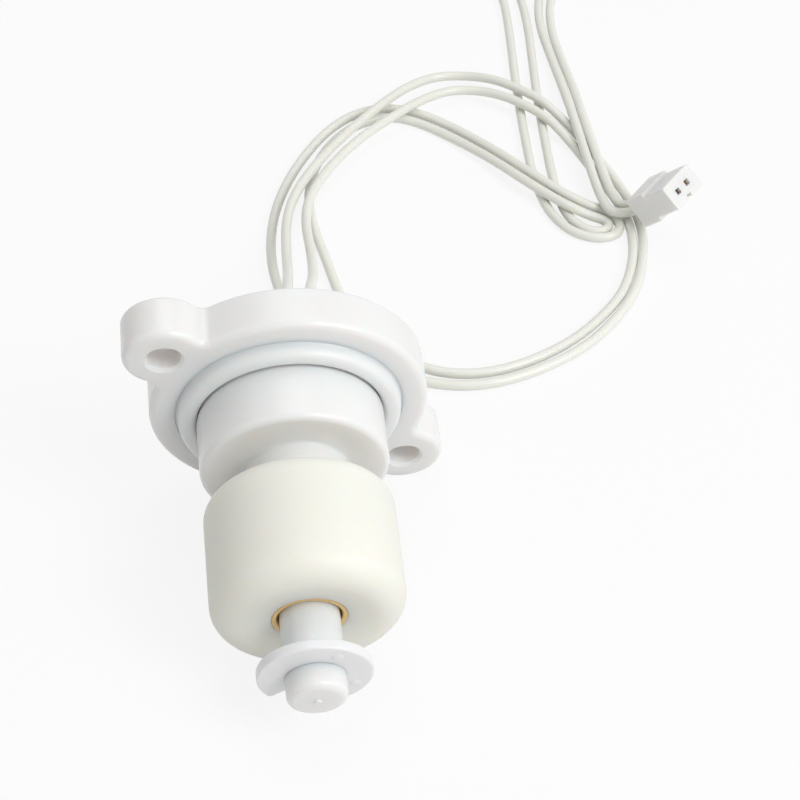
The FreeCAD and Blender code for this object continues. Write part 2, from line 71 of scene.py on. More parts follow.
# %% [markdown]
# ## The camera
#
# The switch is seen from above and in front of its tip, through a long lens, so that its far end
# looks only a little smaller than its near end. A camera looks along its own -Z. Its turn is
# therefore built from three directions: right, up, and back towards the viewer.

# %% Place the camera
camera_place = Vector((-0.00775, -0.18584, 0.21124))
camera_azimuth = math.radians(-6.54)
camera_elevation = math.radians(43.18)
lens_mm = 90.0
sensor_mm = 36.0
nearest_seen = 0.01

camera_data = bpy.data.cameras.new("camera")
camera_data.lens = lens_mm
camera_data.sensor_width = sensor_mm
camera_data.clip_start = nearest_seen
camera = bpy.data.objects.new("camera", camera_data)
bpy.context.scene.collection.objects.link(camera)
right = Vector((math.cos(camera_azimuth), math.sin(camera_azimuth), 0.0))
back = Vector((
    math.sin(camera_azimuth) * math.cos(camera_elevation),
    -math.cos(camera_azimuth) * math.cos(camera_elevation),
    math.sin(camera_elevation),
))
up = back.cross(right)
camera_turn = Matrix((right, up, back)).transposed().to_4x4()
camera.matrix_world = Matrix.Translation(camera_place) @ camera_turn
bpy.context.scene.camera = camera
print("lens", lens_mm, "mm, elevation", round(math.degrees(camera_elevation), 1))

# %% [markdown]
# ## The two wires
#
# Each wire is a stranded conductor in a soft plastic sleeve, 1.65 mm across and about 0.6 m long.
# It leaves the resin in the flange's back, comes down to the table, makes one wide turn and one
# tight one, runs out in a long loop and comes back to the plug. A NURBS curve of order 3 is right for
# it: the curve is smooth everywhere and each point pulls only on its own stretch. Where one wire
# passes over another the points rise in a long low hump.

# %% Lay the wires' routes
wire_diameter = 0.00165
wire_one_route = [
    (-0.00084, 0.02259, 0.02072), (-0.00084, 0.03042, 0.02233),
    (0.00130, 0.03950, 0.02060), (0.00200, 0.04950, 0.01580), (0.00250, 0.05910, 0.00980),
    (0.00280, 0.06950, 0.00560), (0.00340, 0.07950, 0.00360), (0.00540, 0.08780, 0.00300),
    (0.00990, 0.09630, 0.00290), (0.01570, 0.10430, 0.00290), (0.02130, 0.11080, 0.00290),
    (0.02730, 0.11720, 0.00270), (0.03360, 0.12200, 0.00180), (0.03940, 0.12200, 0.00160),
    (0.04420, 0.11880, 0.00270), (0.04840, 0.11490, 0.00290), (0.05220, 0.11080, 0.00280),
    (0.05530, 0.10600, 0.00160), (0.05780, 0.10020, 0.00090), (0.05990, 0.09380, 0.00090),
    (0.06170, 0.08700, 0.00090), (0.06310, 0.07980, 0.00090), (0.06320, 0.07240, 0.00090),
    (0.06155, 0.06520, 0.00090), (0.05898, 0.05825, 0.00090), (0.05440, 0.05160, 0.00090),
    (0.04870, 0.04590, 0.00090), (0.04160, 0.04170, 0.00090), (0.03360, 0.03890, 0.00090),
    (0.02610, 0.03890, 0.00090), (0.01870, 0.04200, 0.00090), (0.01170, 0.04720, 0.00090),
    (0.00580, 0.05360, 0.00090), (0.00200, 0.06080, 0.00090), (0.00050, 0.06900, 0.00090),
    (0.00050, 0.07760, 0.00090), (0.00190, 0.08620, 0.00090), (0.00470, 0.09440, 0.00090),
    (0.00840, 0.10180, 0.00090), (0.01280, 0.10840, 0.00090), (0.01790, 0.11300, 0.00090),
    (0.02400, 0.11460, 0.00090), (0.03000, 0.11200, 0.00090), (0.03590, 0.10640, 0.00090),
    (0.04160, 0.09820, 0.00170), (0.04620, 0.09020, 0.00265), (0.05050, 0.08420, 0.00265),
    (0.05400, 0.08070, 0.00230), (0.05790, 0.07980, 0.00090), (0.06010, 0.07600, 0.00090),
    (0.05860, 0.07280, 0.00090), (0.05490, 0.07245, 0.00090), (0.05100, 0.07500, 0.00090),
    (0.04860, 0.08000, 0.00090), (0.04760, 0.08640, 0.00090), (0.04740, 0.09340, 0.00090),
    (0.04770, 0.10100, 0.00090), (0.04820, 0.11060, 0.00090), (0.04890, 0.12100, 0.00090),
    (0.04990, 0.13240, 0.00090), (0.05080, 0.14440, 0.00090), (0.05070, 0.15400, 0.00090),
    (0.05030, 0.16180, 0.00090), (0.05050, 0.16830, 0.00090), (0.05520, 0.17300, 0.00090),
    (0.06180, 0.17300, 0.00090), (0.06650, 0.16830, 0.00090), (0.06640, 0.16080, 0.00090),
    (0.06340, 0.15460, 0.00090), (0.05980, 0.14700, 0.00090), (0.05820, 0.13680, 0.00090),
    (0.05850, 0.12480, 0.00120), (0.05870, 0.11400, 0.00230), (0.05860, 0.10460, 0.00290),
    (0.05880, 0.09600, 0.00290), (0.05900, 0.08860, 0.00290), (0.05930, 0.08260, 0.00290),
    (0.05990, 0.07880, 0.00290), (0.06160, 0.07840, 0.00280),
    (0.06376, 0.07827, 0.00328), (0.06507, 0.07648, 0.00559),
]
wire_two_route = [
    (0.00084, 0.02287, 0.01933), (0.00084, 0.03071, 0.02094),
    (0.00400, 0.03900, 0.01990), (0.00560, 0.04900, 0.01520), (0.00650, 0.05860, 0.00960),
    (0.00680, 0.06920, 0.00550), (0.00660, 0.07920, 0.00360), (0.00800, 0.08720, 0.00300),
    (0.01200, 0.09480, 0.00290), (0.01760, 0.10220, 0.00290), (0.02340, 0.10760, 0.00290),
    (0.02940, 0.11260, 0.00290), (0.03540, 0.11640, 0.00240), (0.04080, 0.11620, 0.00220),
    (0.04520, 0.11320, 0.00280), (0.04900, 0.10940, 0.00290), (0.05240, 0.10520, 0.00270),
    (0.05510, 0.10040, 0.00150), (0.05720, 0.09460, 0.00090), (0.05880, 0.08860, 0.00090),
    (0.06060, 0.08220, 0.00090), (0.06150, 0.07600, 0.00090), (0.06090, 0.06960, 0.00090),
    (0.05940, 0.06400, 0.00090), (0.05680, 0.05800, 0.00090), (0.05240, 0.05260, 0.00090),
    (0.04720, 0.04780, 0.00090), (0.04090, 0.04400, 0.00090), (0.03370, 0.04150, 0.00090),
    (0.02690, 0.04150, 0.00090), (0.02080, 0.04440, 0.00090), (0.01580, 0.04960, 0.00090),
    (0.01240, 0.05640, 0.00090), (0.01060, 0.06400, 0.00090), (0.00950, 0.07200, 0.00090),
    (0.00820, 0.08000, 0.00090), (0.00770, 0.08800, 0.00090), (0.00900, 0.09560, 0.00090),
    (0.01140, 0.10160, 0.00090), (0.01490, 0.10680, 0.00090), (0.01940, 0.11040, 0.00090),
    (0.02460, 0.11160, 0.00090), (0.02940, 0.10920, 0.00090), (0.03440, 0.10420, 0.00090),
    (0.04020, 0.09640, 0.00170), (0.04480, 0.08820, 0.00265), (0.04920, 0.08230, 0.00265),
    (0.05220, 0.07900, 0.00260), (0.05520, 0.07810, 0.00130), (0.05715, 0.07750, 0.00090),
    (0.05810, 0.07600, 0.00090), (0.05695, 0.07430, 0.00090), (0.05400, 0.07460, 0.00090),
    (0.05130, 0.07880, 0.00090), (0.05060, 0.08560, 0.00090), (0.05070, 0.09100, 0.00090),
    (0.05090, 0.09640, 0.00090), (0.05140, 0.10520, 0.00090), (0.05200, 0.11500, 0.00090),
    (0.05300, 0.12600, 0.00090), (0.05400, 0.13740, 0.00090), (0.05440, 0.14740, 0.00090),
    (0.05350, 0.15480, 0.00090), (0.05280, 0.16100, 0.00090), (0.05290, 0.16730, 0.00090),
    (0.05620, 0.17060, 0.00090), (0.06080, 0.17060, 0.00090), (0.06410, 0.16730, 0.00090),
    (0.06400, 0.16140, 0.00090), (0.06080, 0.15520, 0.00090), (0.05760, 0.14780, 0.00090),
    (0.05630, 0.13840, 0.00090), (0.05660, 0.12760, 0.00100), (0.05680, 0.11680, 0.00200),
    (0.05680, 0.10680, 0.00290), (0.05700, 0.09740, 0.00290), (0.05710, 0.08900, 0.00290),
    (0.05730, 0.08200, 0.00290), (0.05790, 0.07740, 0.00290), (0.05980, 0.07630, 0.00290),
    (0.06202, 0.07652, 0.00291), (0.06333, 0.07472, 0.00521),
]
print("points on the routes", len(wire_one_route), len(wire_two_route))

# %% [markdown]
# The order and the end rule are set after the points are added, because a new spline has too few
# points to take them. The section is round, with flat ends that sit in the resin and in the plug.
# The sleeve's material is put on each curve at once, still empty, and is worked out further down.

# %% Make each wire a smooth curve
wire_sleeve = bpy.data.materials.new("wire_ivory_sleeve")
steps_between_points = 10
steps_round_section = 5


def lay_wire(name, route):
    """One open NURBS curve through the wire's route, with the wire's round section."""
    curve = bpy.data.curves.new(name, "CURVE")
    curve.dimensions = "3D"
    spline = curve.splines.new("NURBS")
    spline.points.add(len(route) - 1)
    for point, place in zip(spline.points, route):
        point.co = (*place, 1.0)
    spline.order_u = 3
    spline.use_endpoint_u = True
    spline.resolution_u = steps_between_points
    curve.bevel_depth = wire_diameter / 2
    curve.bevel_resolution = steps_round_section
    curve.use_fill_caps = True
    curve.materials.append(wire_sleeve)
    wire = bpy.data.objects.new(name, curve)
    bpy.context.scene.collection.objects.link(wire)
    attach(wire, "switch_body")
    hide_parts(name.replace("insulated_", ""))
    return wire


wires = [
    lay_wire("insulated_wire_one", wire_one_route),
    lay_wire("insulated_wire_two", wire_two_route),
]
print("wires laid", [wire.name for wire in wires])

# %% [markdown]
# ## Surfaces that several finishes share
#
# Moulded plastic is never one flat colour: thick and thin places scatter light differently, and the
# mould leaves a faint skin. One node group gives every plastic here that unevenness. It mixes two
# close colours in broad soft patches, lets the roughness wander a little, and puts out a fine height
# for each material's own Bump node.

# %% Build the shared plastic skin
def group_socket(group, title, kind, direction, value=None):
    """Adds one named socket to a node group."""
    socket = group.interface.new_socket(title, in_out=direction, socket_type=kind)
    if value is not None:
        socket.default_value = value
    return socket


def build_plastic_skin():
    """Node group: two-tone patches, wandering roughness and a fine skin height."""
    group = bpy.data.node_groups.new("plastic_skin", "ShaderNodeTree")
    for title, kind, value in (
        ("Vector", "NodeSocketVector", None),
        ("Light tone", "NodeSocketColor", (0.9, 0.9, 0.9, 1.0)),
        ("Deep tone", "NodeSocketColor", (0.8, 0.8, 0.8, 1.0)),
        ("Patches per metre", "NodeSocketFloat", 120.0),
        ("Grain per metre", "NodeSocketFloat", 4000.0),
        ("Lowest roughness", "NodeSocketFloat", 0.2),
        ("Highest roughness", "NodeSocketFloat", 0.3),
    ):
        group_socket(group, title, kind, "INPUT", value)
    for title, kind in (
        ("Colour", "NodeSocketColor"),
        ("Roughness", "NodeSocketFloat"),
        ("Height", "NodeSocketFloat"),
    ):
        group_socket(group, title, kind, "OUTPUT")
    tree = group.nodes
    link = group.links.new
    entry = tree.new("NodeGroupInput")
    leave = tree.new("NodeGroupOutput")
    patches = tree.new("ShaderNodeTexNoise")
    patches.inputs["Detail"].default_value = 3.0
    grain = tree.new("ShaderNodeTexNoise")
    grain.inputs["Detail"].default_value = 4.0
    grain.inputs["Roughness"].default_value = 0.65
    tone = tree.new("ShaderNodeMix")
    tone.data_type = "RGBA"
    roughness = tree.new("ShaderNodeMapRange")
    link(entry.outputs["Vector"], patches.inputs["Vector"])
    link(entry.outputs["Vector"], grain.inputs["Vector"])
    link(entry.outputs["Patches per metre"], patches.inputs["Scale"])
    link(entry.outputs["Grain per metre"], grain.inputs["Scale"])
    link(patches.outputs["Fac"], tone.inputs["Factor"])
    link(entry.outputs["Light tone"], tone.inputs["A"])
    link(entry.outputs["Deep tone"], tone.inputs["B"])
    link(patches.outputs["Fac"], roughness.inputs["Value"])
    link(entry.outputs["Lowest roughness"], roughness.inputs["To Min"])
    link(entry.outputs["Highest roughness"], roughness.inputs["To Max"])
    link(tone.outputs["Result"], leave.inputs["Colour"])
    link(roughness.outputs["Result"], leave.inputs["Roughness"])
    link(grain.outputs["Fac"], leave.inputs["Height"])
    return group


plastic_skin = build_plastic_skin()
print("shared group", plastic_skin.name, len(plastic_skin.nodes), "nodes")

# %% [markdown]
# Each plastic then is a Principled shader fed by that group. The constants, such as how far light
# goes into the plastic, stay on the shader's own sockets. The scatter depths are real lengths in
# metres for red, green and blue, so the scale beside them is 1. Tones in this script are linear
# values, so 0.85 is a bright white and 0.05 nearly black.

# %% A helper that makes one plastic
plastic_ior = 1.49


def make_plastic(
    name, light, deep, roughness, patches=120.0, grain=4000.0, bump=0.00001, strength=0.2,
    scatter=0.0, scatter_depth=(0.001, 0.0009, 0.0008),
):
    """Principled plastic whose colour, roughness and bump come from the shared skin."""
    material = bpy.data.materials.get(name) or bpy.data.materials.new(name)
    material.use_nodes = True
    tree = material.node_tree
    shader = tree.nodes["Principled BSDF"]
    place = tree.nodes.new("ShaderNodeTexCoord")
    skin = tree.nodes.new("ShaderNodeGroup")
    skin.node_tree = plastic_skin
    skin.inputs["Light tone"].default_value = (*light, 1.0)
    skin.inputs["Deep tone"].default_value = (*deep, 1.0)
    skin.inputs["Patches per metre"].default_value = patches
    skin.inputs["Grain per metre"].default_value = grain
    skin.inputs["Lowest roughness"].default_value = roughness[0]
    skin.inputs["Highest roughness"].default_value = roughness[1]
    relief = tree.nodes.new("ShaderNodeBump")
    relief.inputs["Distance"].default_value = bump
    relief.inputs["Strength"].default_value = strength
    tree.links.new(place.outputs["Object"], skin.inputs["Vector"])
    tree.links.new(skin.outputs["Colour"], shader.inputs["Base Color"])
    tree.links.new(skin.outputs["Roughness"], shader.inputs["Roughness"])
    tree.links.new(skin.outputs["Height"], relief.inputs["Height"])
    tree.links.new(relief.outputs["Normal"], shader.inputs["Normal"])
    shader.inputs["IOR"].default_value = plastic_ior
    if scatter > 0:
        shader.inputs["Subsurface Weight"].default_value = scatter
        shader.inputs["Subsurface Radius"].default_value = scatter_depth
        shader.inputs["Subsurface Scale"].default_value = 1.0
    return material


def finish_node(name, material):
    """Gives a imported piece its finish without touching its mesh."""
    for slot in nodes[name].material_slots:
        slot.material = material


print("packed pieces to finish", len(nodes))

# %% [markdown]
# ## The white moulding, the clip and the seal
#
# The body is moulded in a glossy, slightly translucent white plastic. The clip is the same plastic
# from another mould, a trace bluer. The seal is white rubber, as pale but softer in its gloss.

# %% Finish the body, clip and seal
body_plastic = make_plastic(
    "body_white_plastic", (0.83, 0.83, 0.822), (0.822, 0.82, 0.81), (0.25, 0.27),
    patches=60.0, grain=2600.0, bump=0.0000012, strength=0.15,
    scatter=0.6, scatter_depth=(0.0040, 0.0027, 0.0022),
)
clip_plastic = make_plastic(
    "clip_white_plastic", (0.82, 0.82, 0.83), (0.81, 0.81, 0.82), (0.27, 0.3),
    patches=90.0, grain=2600.0, bump=0.0000015, strength=0.15,
    scatter=0.45, scatter_depth=(0.0026, 0.0020, 0.0018),
)
seal_rubber = make_plastic(
    "seal_white_rubber", (0.84, 0.838, 0.832), (0.83, 0.826, 0.815), (0.34, 0.38),
    patches=120.0, grain=3400.0, bump=0.000002, strength=0.15,
    scatter=0.6, scatter_depth=(0.0040, 0.0026, 0.0020),
)
finish_node("flange_body", body_plastic)
finish_node("retaining_clip", clip_plastic)
print("white pieces finished")

# %% [markdown]
# ## The float
#
# The float is a closed-cell foam with a smooth moulded skin. It is cream, nearly matt, and light goes
# well into it, so its shaded side stays warm. The resin that lines its bore is a yellow brown.

# %% Finish the float
float_foam = make_plastic(
    "float_cream_foam", (0.86, 0.86, 0.80), (0.83, 0.825, 0.755), (0.5, 0.62),
    patches=70.0, grain=5200.0, bump=0.00002, strength=0.3,
    scatter=0.6, scatter_depth=(0.0060, 0.0046, 0.0028),
)
bore_resin = make_plastic(
    "bore_ochre_resin", (0.96, 0.66, 0.29), (0.90, 0.55, 0.19), (0.3, 0.42),
    patches=260.0, grain=2500.0, bump=0.00001,
    scatter=0.25, scatter_depth=(0.0030, 0.0018, 0.0010),
)
magnet_ferrite = make_plastic(
    "magnet_dark_ferrite", (0.035, 0.035, 0.038), (0.02, 0.02, 0.022), (0.55, 0.7),
    patches=400.0, grain=6000.0, bump=0.00003,
)
finish_node("float_resin", bore_resin)
finish_node("float_magnet", magnet_ferrite)
print("float finished")

# %% [markdown]
# ## The float as a turned shape
#
# The real float is moulded in a round mould, so its whole shape follows one rule: half of its section,
# turned about the stem. It could be made from a cylinder with bevelled edges, but the dish round its
# mouth and the pocket for the magnet would then each need a cut. A small node tree says it more
# plainly. It sets the seven corners of the half section from named sizes, rounds them, and sweeps the
# section round a circle. Any of the sizes can be changed and the shape stays sound.

# %% Helpers for geometry trees
def new_shape_tree(name, sizes):
    """Geometry tree with a named number for each size, a material input and a mesh output."""
    tree = bpy.data.node_groups.new(name, "GeometryNodeTree")
    for title in sizes:
        tree.interface.new_socket(title, in_out="INPUT", socket_type="NodeSocketFloat")
    tree.interface.new_socket("Material", in_out="INPUT", socket_type="NodeSocketMaterial")
    tree.interface.new_socket("Geometry", in_out="OUTPUT", socket_type="NodeSocketGeometry")
    return tree, tree.nodes.new("NodeGroupInput"), tree.nodes.new("NodeGroupOutput")


def feed(tree, value, socket):
    """Gives a socket its value, which is a number or another socket."""
    if isinstance(value, (int, float)):
        socket.default_value = value
    else:
        tree.links.new(value, socket)


def node_math(tree, operation, first, second=0.0):
    """One Math node; each value is a socket or a number."""
    node = tree.nodes.new("ShaderNodeMath")
    node.operation = operation
    feed(tree, first, node.inputs[0])
    feed(tree, second, node.inputs[1])
    return node.outputs[0]


def point_socket(tree, x=0.0, y=0.0, z=0.0):
    """One place built from three values, each a socket or a number."""
    node = tree.nodes.new("ShaderNodeCombineXYZ")
    for title, value in (("X", x), ("Y", y), ("Z", z)):
        feed(tree, value, node.inputs[title])
    return node.outputs[0]


def by_index(tree, kind, index, values):
    """Picks one of the values by a point's number."""
    node = tree.nodes.new("GeometryNodeIndexSwitch")
    node.data_type = kind
    while len(node.index_switch_items) < len(values):
        node.index_switch_items.new()
    tree.links.new(index, node.inputs["Index"])
    for value, socket in zip(values, list(node.inputs)[1:]):
        feed(tree, value, socket)
    return node.outputs[0]


def end_tree(tree, entry, leave, shape):
    """Makes every copy real, gives it the material and puts it out."""
    real = tree.nodes.new("GeometryNodeRealizeInstances")
    paint = tree.nodes.new("GeometryNodeSetMaterial")
    tree.links.new(shape, real.inputs[0])
    tree.links.new(real.outputs[0], paint.inputs["Geometry"])
    tree.links.new(entry.outputs["Material"], paint.inputs["Material"])
    tree.links.new(paint.outputs[0], leave.inputs["Geometry"])


def grown_mesh(name, tree, values, place):
    """Runs a tree with these values and keeps the result as one plain mesh, set in its place."""
    empty_mesh = bpy.data.meshes.new(name + "_carrier")
    carrier = bpy.data.objects.new(name + "_carrier", empty_mesh)
    bpy.context.scene.collection.objects.link(carrier)
    modifier = carrier.modifiers.new("shape", "NODES")
    modifier.node_group = tree
    for item in tree.interface.items_tree:
        if item.in_out == "INPUT" and item.name in values:
            modifier[item.identifier] = values[item.name]
    graph = bpy.context.evaluated_depsgraph_get()
    mesh = bpy.data.meshes.new_from_object(carrier.evaluated_get(graph), depsgraph=graph)
    bpy.data.objects.remove(carrier)
    mesh.name = name
    mesh.transform(place)
    piece = bpy.data.objects.new(name, mesh)
    bpy.context.scene.collection.objects.link(piece)
    return piece


def place_along(origin, direction):
    """Puts a shape's own start at a point and its own Z along a direction."""
    return Matrix.Translation(origin) @ direction.to_track_quat("Z", "Y").to_matrix().to_4x4()


print("geometry helpers ready")

# %% [markdown]
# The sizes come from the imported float: how far its points reach along the stem's line, and how far
# they stand from it. The pocket is the magnet's size with a little room. The dish and the roundings
# are named here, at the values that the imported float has.

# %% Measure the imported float
def along_and_out(node, origin, direction):
    """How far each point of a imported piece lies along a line, and how far out from it."""
    pairs = []
    for vertex in node.data.vertices:
        offset = vertex.co - origin
        reach = offset.dot(direction)
        pairs.append((reach, (offset - direction * reach).length))
    return pairs


float_points = along_and_out(nodes["float_shell"], axis_point, tip_way)
float_start = min(reach for reach, out in float_points)
float_end = max(reach for reach, out in float_points)
float_radius = max(out for reach, out in float_points)
float_bore = min(out for reach, out in float_points)
magnet_points = along_and_out(nodes["float_magnet"], axis_point, tip_way)
magnet_fit = 0.00005
dish_rim_width = 0.004
pocket_depth = max(reach for reach, out in magnet_points) + magnet_fit - float_start
pocket_radius = max(out for reach, out in magnet_points) + magnet_fit
float_sizes = {
    "Length": float_end - float_start,
    "Outer radius": float_radius,
    "Bore radius": float_bore,
    "Pocket depth": pocket_depth,
    "Pocket radius": pocket_radius,
    "Dish radius": float_radius - dish_rim_width,
    "Dish depth": 0.0008,
    "Neck-side rounding": 0.0026,
    "Tip-side rounding": 0.0036,
    "Mouth rounding": 0.0005,
}
print("float length", round(float_end - float_start, 4), "radius", round(float_radius, 4))

# %% [markdown]
# In the tree the section is drawn flat: X is the distance outside the bore, Y the distance from the
# neck-side end. Curve to Mesh then carries it round a circle as wide as the bore. Seen along that
# circle, the section's Y points down, so the heights go in with a minus sign.

# %% Build the tree that turns the float
steps_per_rounding = 9
steps_round_float = 128


def build_turned_float():
    """Geometry tree: rounded half section swept round the bore."""
    tree, entry, leave = new_shape_tree("turned_float", list(float_sizes))
    size = entry.outputs
    link = tree.links.new

    def outside(title):
        return node_math(tree, "SUBTRACT", size[title], size["Bore radius"])

    def height(title):
        return node_math(tree, "MULTIPLY", size[title], -1.0)

    dish_floor = node_math(tree, "SUBTRACT", size["Dish depth"], size["Length"])
    corners = (
        (outside("Pocket radius"), 0.0, size["Mouth rounding"]),
        (outside("Outer radius"), 0.0, size["Neck-side rounding"]),
        (outside("Outer radius"), height("Length"), size["Tip-side rounding"]),
        (outside("Dish radius"), height("Length"), 0.0),
        (0.0, dish_floor, size["Mouth rounding"]),
        (0.0, height("Pocket depth"), 0.0),
        (outside("Pocket radius"), height("Pocket depth"), 0.0),
    )
    index = tree.nodes.new("GeometryNodeInputIndex").outputs[0]
    line = tree.nodes.new("GeometryNodeMeshLine")
    line.inputs["Count"].default_value = len(corners)
    outline = tree.nodes.new("GeometryNodeMeshToCurve")
    moved = tree.nodes.new("GeometryNodeSetPosition")
    closed = tree.nodes.new("GeometryNodeSetSplineCyclic")
    closed.inputs["Cyclic"].default_value = True
    rounded = tree.nodes.new("GeometryNodeFilletCurve")
    rounded.mode = "POLY"
    rounded.inputs["Count"].default_value = steps_per_rounding
    places = [point_socket(tree, out, down) for out, down, _ in corners]
    roundings = [rounding for _, _, rounding in corners]
    link(line.outputs[0], outline.inputs[0])
    link(outline.outputs[0], moved.inputs["Geometry"])
    link(by_index(tree, "VECTOR", index, places), moved.inputs["Position"])
    link(moved.outputs[0], closed.inputs["Geometry"])
    link(closed.outputs[0], rounded.inputs["Curve"])
    link(by_index(tree, "FLOAT", index, roundings), rounded.inputs["Radius"])
    circle = tree.nodes.new("GeometryNodeCurvePrimitiveCircle")
    circle.inputs["Resolution"].default_value = steps_round_float
    link(size["Bore radius"], circle.inputs["Radius"])
    swept = tree.nodes.new("GeometryNodeCurveToMesh")
    link(circle.outputs[0], swept.inputs["Curve"])
    link(rounded.outputs[0], swept.inputs["Profile Curve"])
    end_tree(tree, entry, leave, swept.outputs[0])
    return tree


float_place = place_along(axis_point + tip_way * float_start, tip_way)
turned_float = grown_mesh(
    "float_turned_shell", build_turned_float(), {**float_sizes, "Material": float_foam}, float_place,
)
print("float faces", len(turned_float.data.polygons))

# %% [markdown]
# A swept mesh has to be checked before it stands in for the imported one: it must be closed, with its
# walls facing out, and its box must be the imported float's. It is shaded smooth, except where two
# faces meet at a true corner.

# %% Check the float and let it ride
same_place = 0.000001


def tidy_normals(piece, crease_degrees=35.0):
    """Merges doubles, faces the walls outward, shades smooth; returns volume and open edges."""
    shape = bmesh.new()
    shape.from_mesh(piece.data)
    bmesh.ops.remove_doubles(shape, verts=shape.verts, dist=same_place)
    bmesh.ops.recalc_face_normals(shape, faces=shape.faces)
    volume = shape.calc_volume(signed=True)
    if volume < 0:
        bmesh.ops.reverse_faces(shape, faces=shape.faces)
    crease = math.radians(crease_degrees)
    for edge in shape.edges:
        edge.smooth = len(edge.link_faces) == 2 and edge.calc_face_angle(0.0) < crease
    for face in shape.faces:
        face.smooth = True
    shape.to_mesh(piece.data)
    open_edges = sum(1 for edge in shape.edges if len(edge.link_faces) != 2)
    shape.free()
    return abs(volume), open_edges


float_volume, float_open = tidy_normals(turned_float)
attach(turned_float, "float")
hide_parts("float_shell")
packed_low, packed_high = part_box("float_shell")
turned_places = [vertex.co for vertex in turned_float.data.vertices]
worst = max(
    max(abs(min(place[axis] for place in turned_places) - packed_low[axis]) for axis in range(3)),
    max(abs(max(place[axis] for place in turned_places) - packed_high[axis]) for axis in range(3)),
)
print("float volume", round(float_volume * 1e6, 3), "cm3, open edges", float_open)
print("box differs from the packed float's by", round(worst * 1000, 3), "mm")

# %% [markdown]
# ## The resin lip at the float's mouth
#
# The resin that holds the magnet was poured in flush and then sank a little as it set, so at the
# dish it ends in a thin ochre lip that climbs the mouth's rounded edge. It could be painted on with a
# mask, but a lip catches the light on its own, so it is a small turned ring. It keeps the float's
# running clearance from the stem.

# %% A helper that turns a ring
ring_crease_degrees = 50.0


def turned_ring(name, outline, place, steps=96):
    """Closed ring: (distance out, height) points turned round the place's own Z."""
    shape = bmesh.new()
    loops = []
    for step in range(steps):
        angle = math.tau * step / steps
        loops.append([
            shape.verts.new((out * math.cos(angle), out * math.sin(angle), height))
            for out, height in outline
        ])
    for step in range(steps):
        here, there = loops[step], loops[(step + 1) % steps]
        for corner in range(len(outline)):
            after = (corner + 1) % len(outline)
            shape.faces.new((here[corner], there[corner], there[after], here[after]))
    mesh = bpy.data.meshes.new(name)
    shape.to_mesh(mesh)
    shape.free()
    mesh.transform(place)
    piece = bpy.data.objects.new(name, mesh)
    bpy.context.scene.collection.objects.link(piece)
    tidy_normals(piece, ring_crease_degrees)
    return piece


print("ring helper ready")

# %% [markdown]
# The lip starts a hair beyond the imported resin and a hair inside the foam's bore, so that no two
# faces lie in one plane. Its heights are set under the dish's floor, as shares of the rounding that
# it climbs, so they follow if that rounding changes.

# %% Turn the resin lip
lip_reach = 0.00012
hair = 0.00002
resin_points = along_and_out(nodes["float_resin"], axis_point, tip_way)
lip_inner = min(out for reach, out in resin_points) - lip_reach
lip_start = max(reach for reach, out in resin_points) - float_start + hair
dish_floor = float_end - float_start - float_sizes["Dish depth"]
mouth = float_sizes["Mouth rounding"]


def under_dish(share):
    """A height below the dish's floor, as a share of the mouth's rounding."""
    return dish_floor - share * mouth


lip_outline = [
    (lip_inner, lip_start),
    (lip_inner, under_dish(0.35)),
    (lip_inner + 0.12 * mouth, under_dish(0.22)),
    (float_bore, under_dish(0.12)),
    (float_bore, under_dish(0.45)),
    (float_bore - hair, under_dish(1.0)),
    (float_bore - hair, lip_start),
]
resin_lip = turned_ring("resin_lip", lip_outline, float_place)
resin_lip.data.materials.append(bore_resin)
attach(resin_lip, "float")
print("resin lip", len(resin_lip.data.polygons), "faces")

# %% [markdown]
# ## The seal
#
# The seal is a soft white rubber ring, pressed into a groove in the flange's face round the spigot's
# foot. A free ring is round in section, but a pressed one bulges at its top and spreads over its
# groove, so no black crack shows beside it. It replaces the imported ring, at that ring's own height.
#
# Its section has a low foot as wide as the groove, short straight sides and a full arch. The arch is
# half a turn of an ellipse whose sine and cosine are raised to powers under 1, which squares it off
# the way that squeezing does.

# %% Turn the squeezed seal
seal_points = along_and_out(nodes["seal_ring"], axis_point, tip_way)
seal_foot = min(reach for reach, out in seal_points)
seal_height = max(reach for reach, out in seal_points) - seal_foot
seal_inner = min(out for reach, out in seal_points)
seal_outer = max(out for reach, out in seal_points)
seal_middle = (seal_inner + seal_outer) / 2
seal_half_width = (seal_outer - seal_inner) / 2
straight_side = 0.35 * seal_height
groove_depth = 0.00075
groove_spread = 0.00027
side_power = 0.7
crown_power = 0.9
arch_steps = 24
seal_outline = [
    (seal_inner, 0.0),
    (seal_outer + groove_spread, 0.0),
    (seal_outer + groove_spread, 0.8 * groove_depth),
    (seal_outer + 0.7 * groove_spread, groove_depth),
]
for step in range(arch_steps + 1):
    turn = math.pi * step / arch_steps
    side = math.copysign(abs(math.cos(turn)) ** side_power, math.cos(turn))
    seal_outline.append((
        seal_middle + seal_half_width * side,
        straight_side + (seal_height - straight_side) * math.sin(turn) ** crown_power,
    ))
seal_place = place_along(axis_point + tip_way * seal_foot, tip_way)
squeezed_seal = turned_ring("squeezed_seal", seal_outline, seal_place, steps=160)
squeezed_seal.data.materials.append(seal_rubber)
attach(squeezed_seal, "switch_body")
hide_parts("seal_ring")
print("seal", round(seal_height * 1000, 2), "mm high, width", round(2000 * seal_half_width, 2), "mm")

# %% [markdown]
# ## The bared strands
#
# At the plug the sleeve is stripped, and the conductor goes into the crimp. It is a bundle of fine
# copper strands, six twisted round one, seen only down the plug's mouth. A plain rod would do from
# afar. Here a tree makes six copies of one straight line, winds them into a helix round it, and gives
# every line a round section, so the length, the thickness and the twist are single inputs.

# %% Build the tree that twists the strands
strand_sizes = ("Length", "Strand radius", "Lay radius", "Turns")
wound_strands = 6
points_per_strand = 40
steps_round_strand = 12


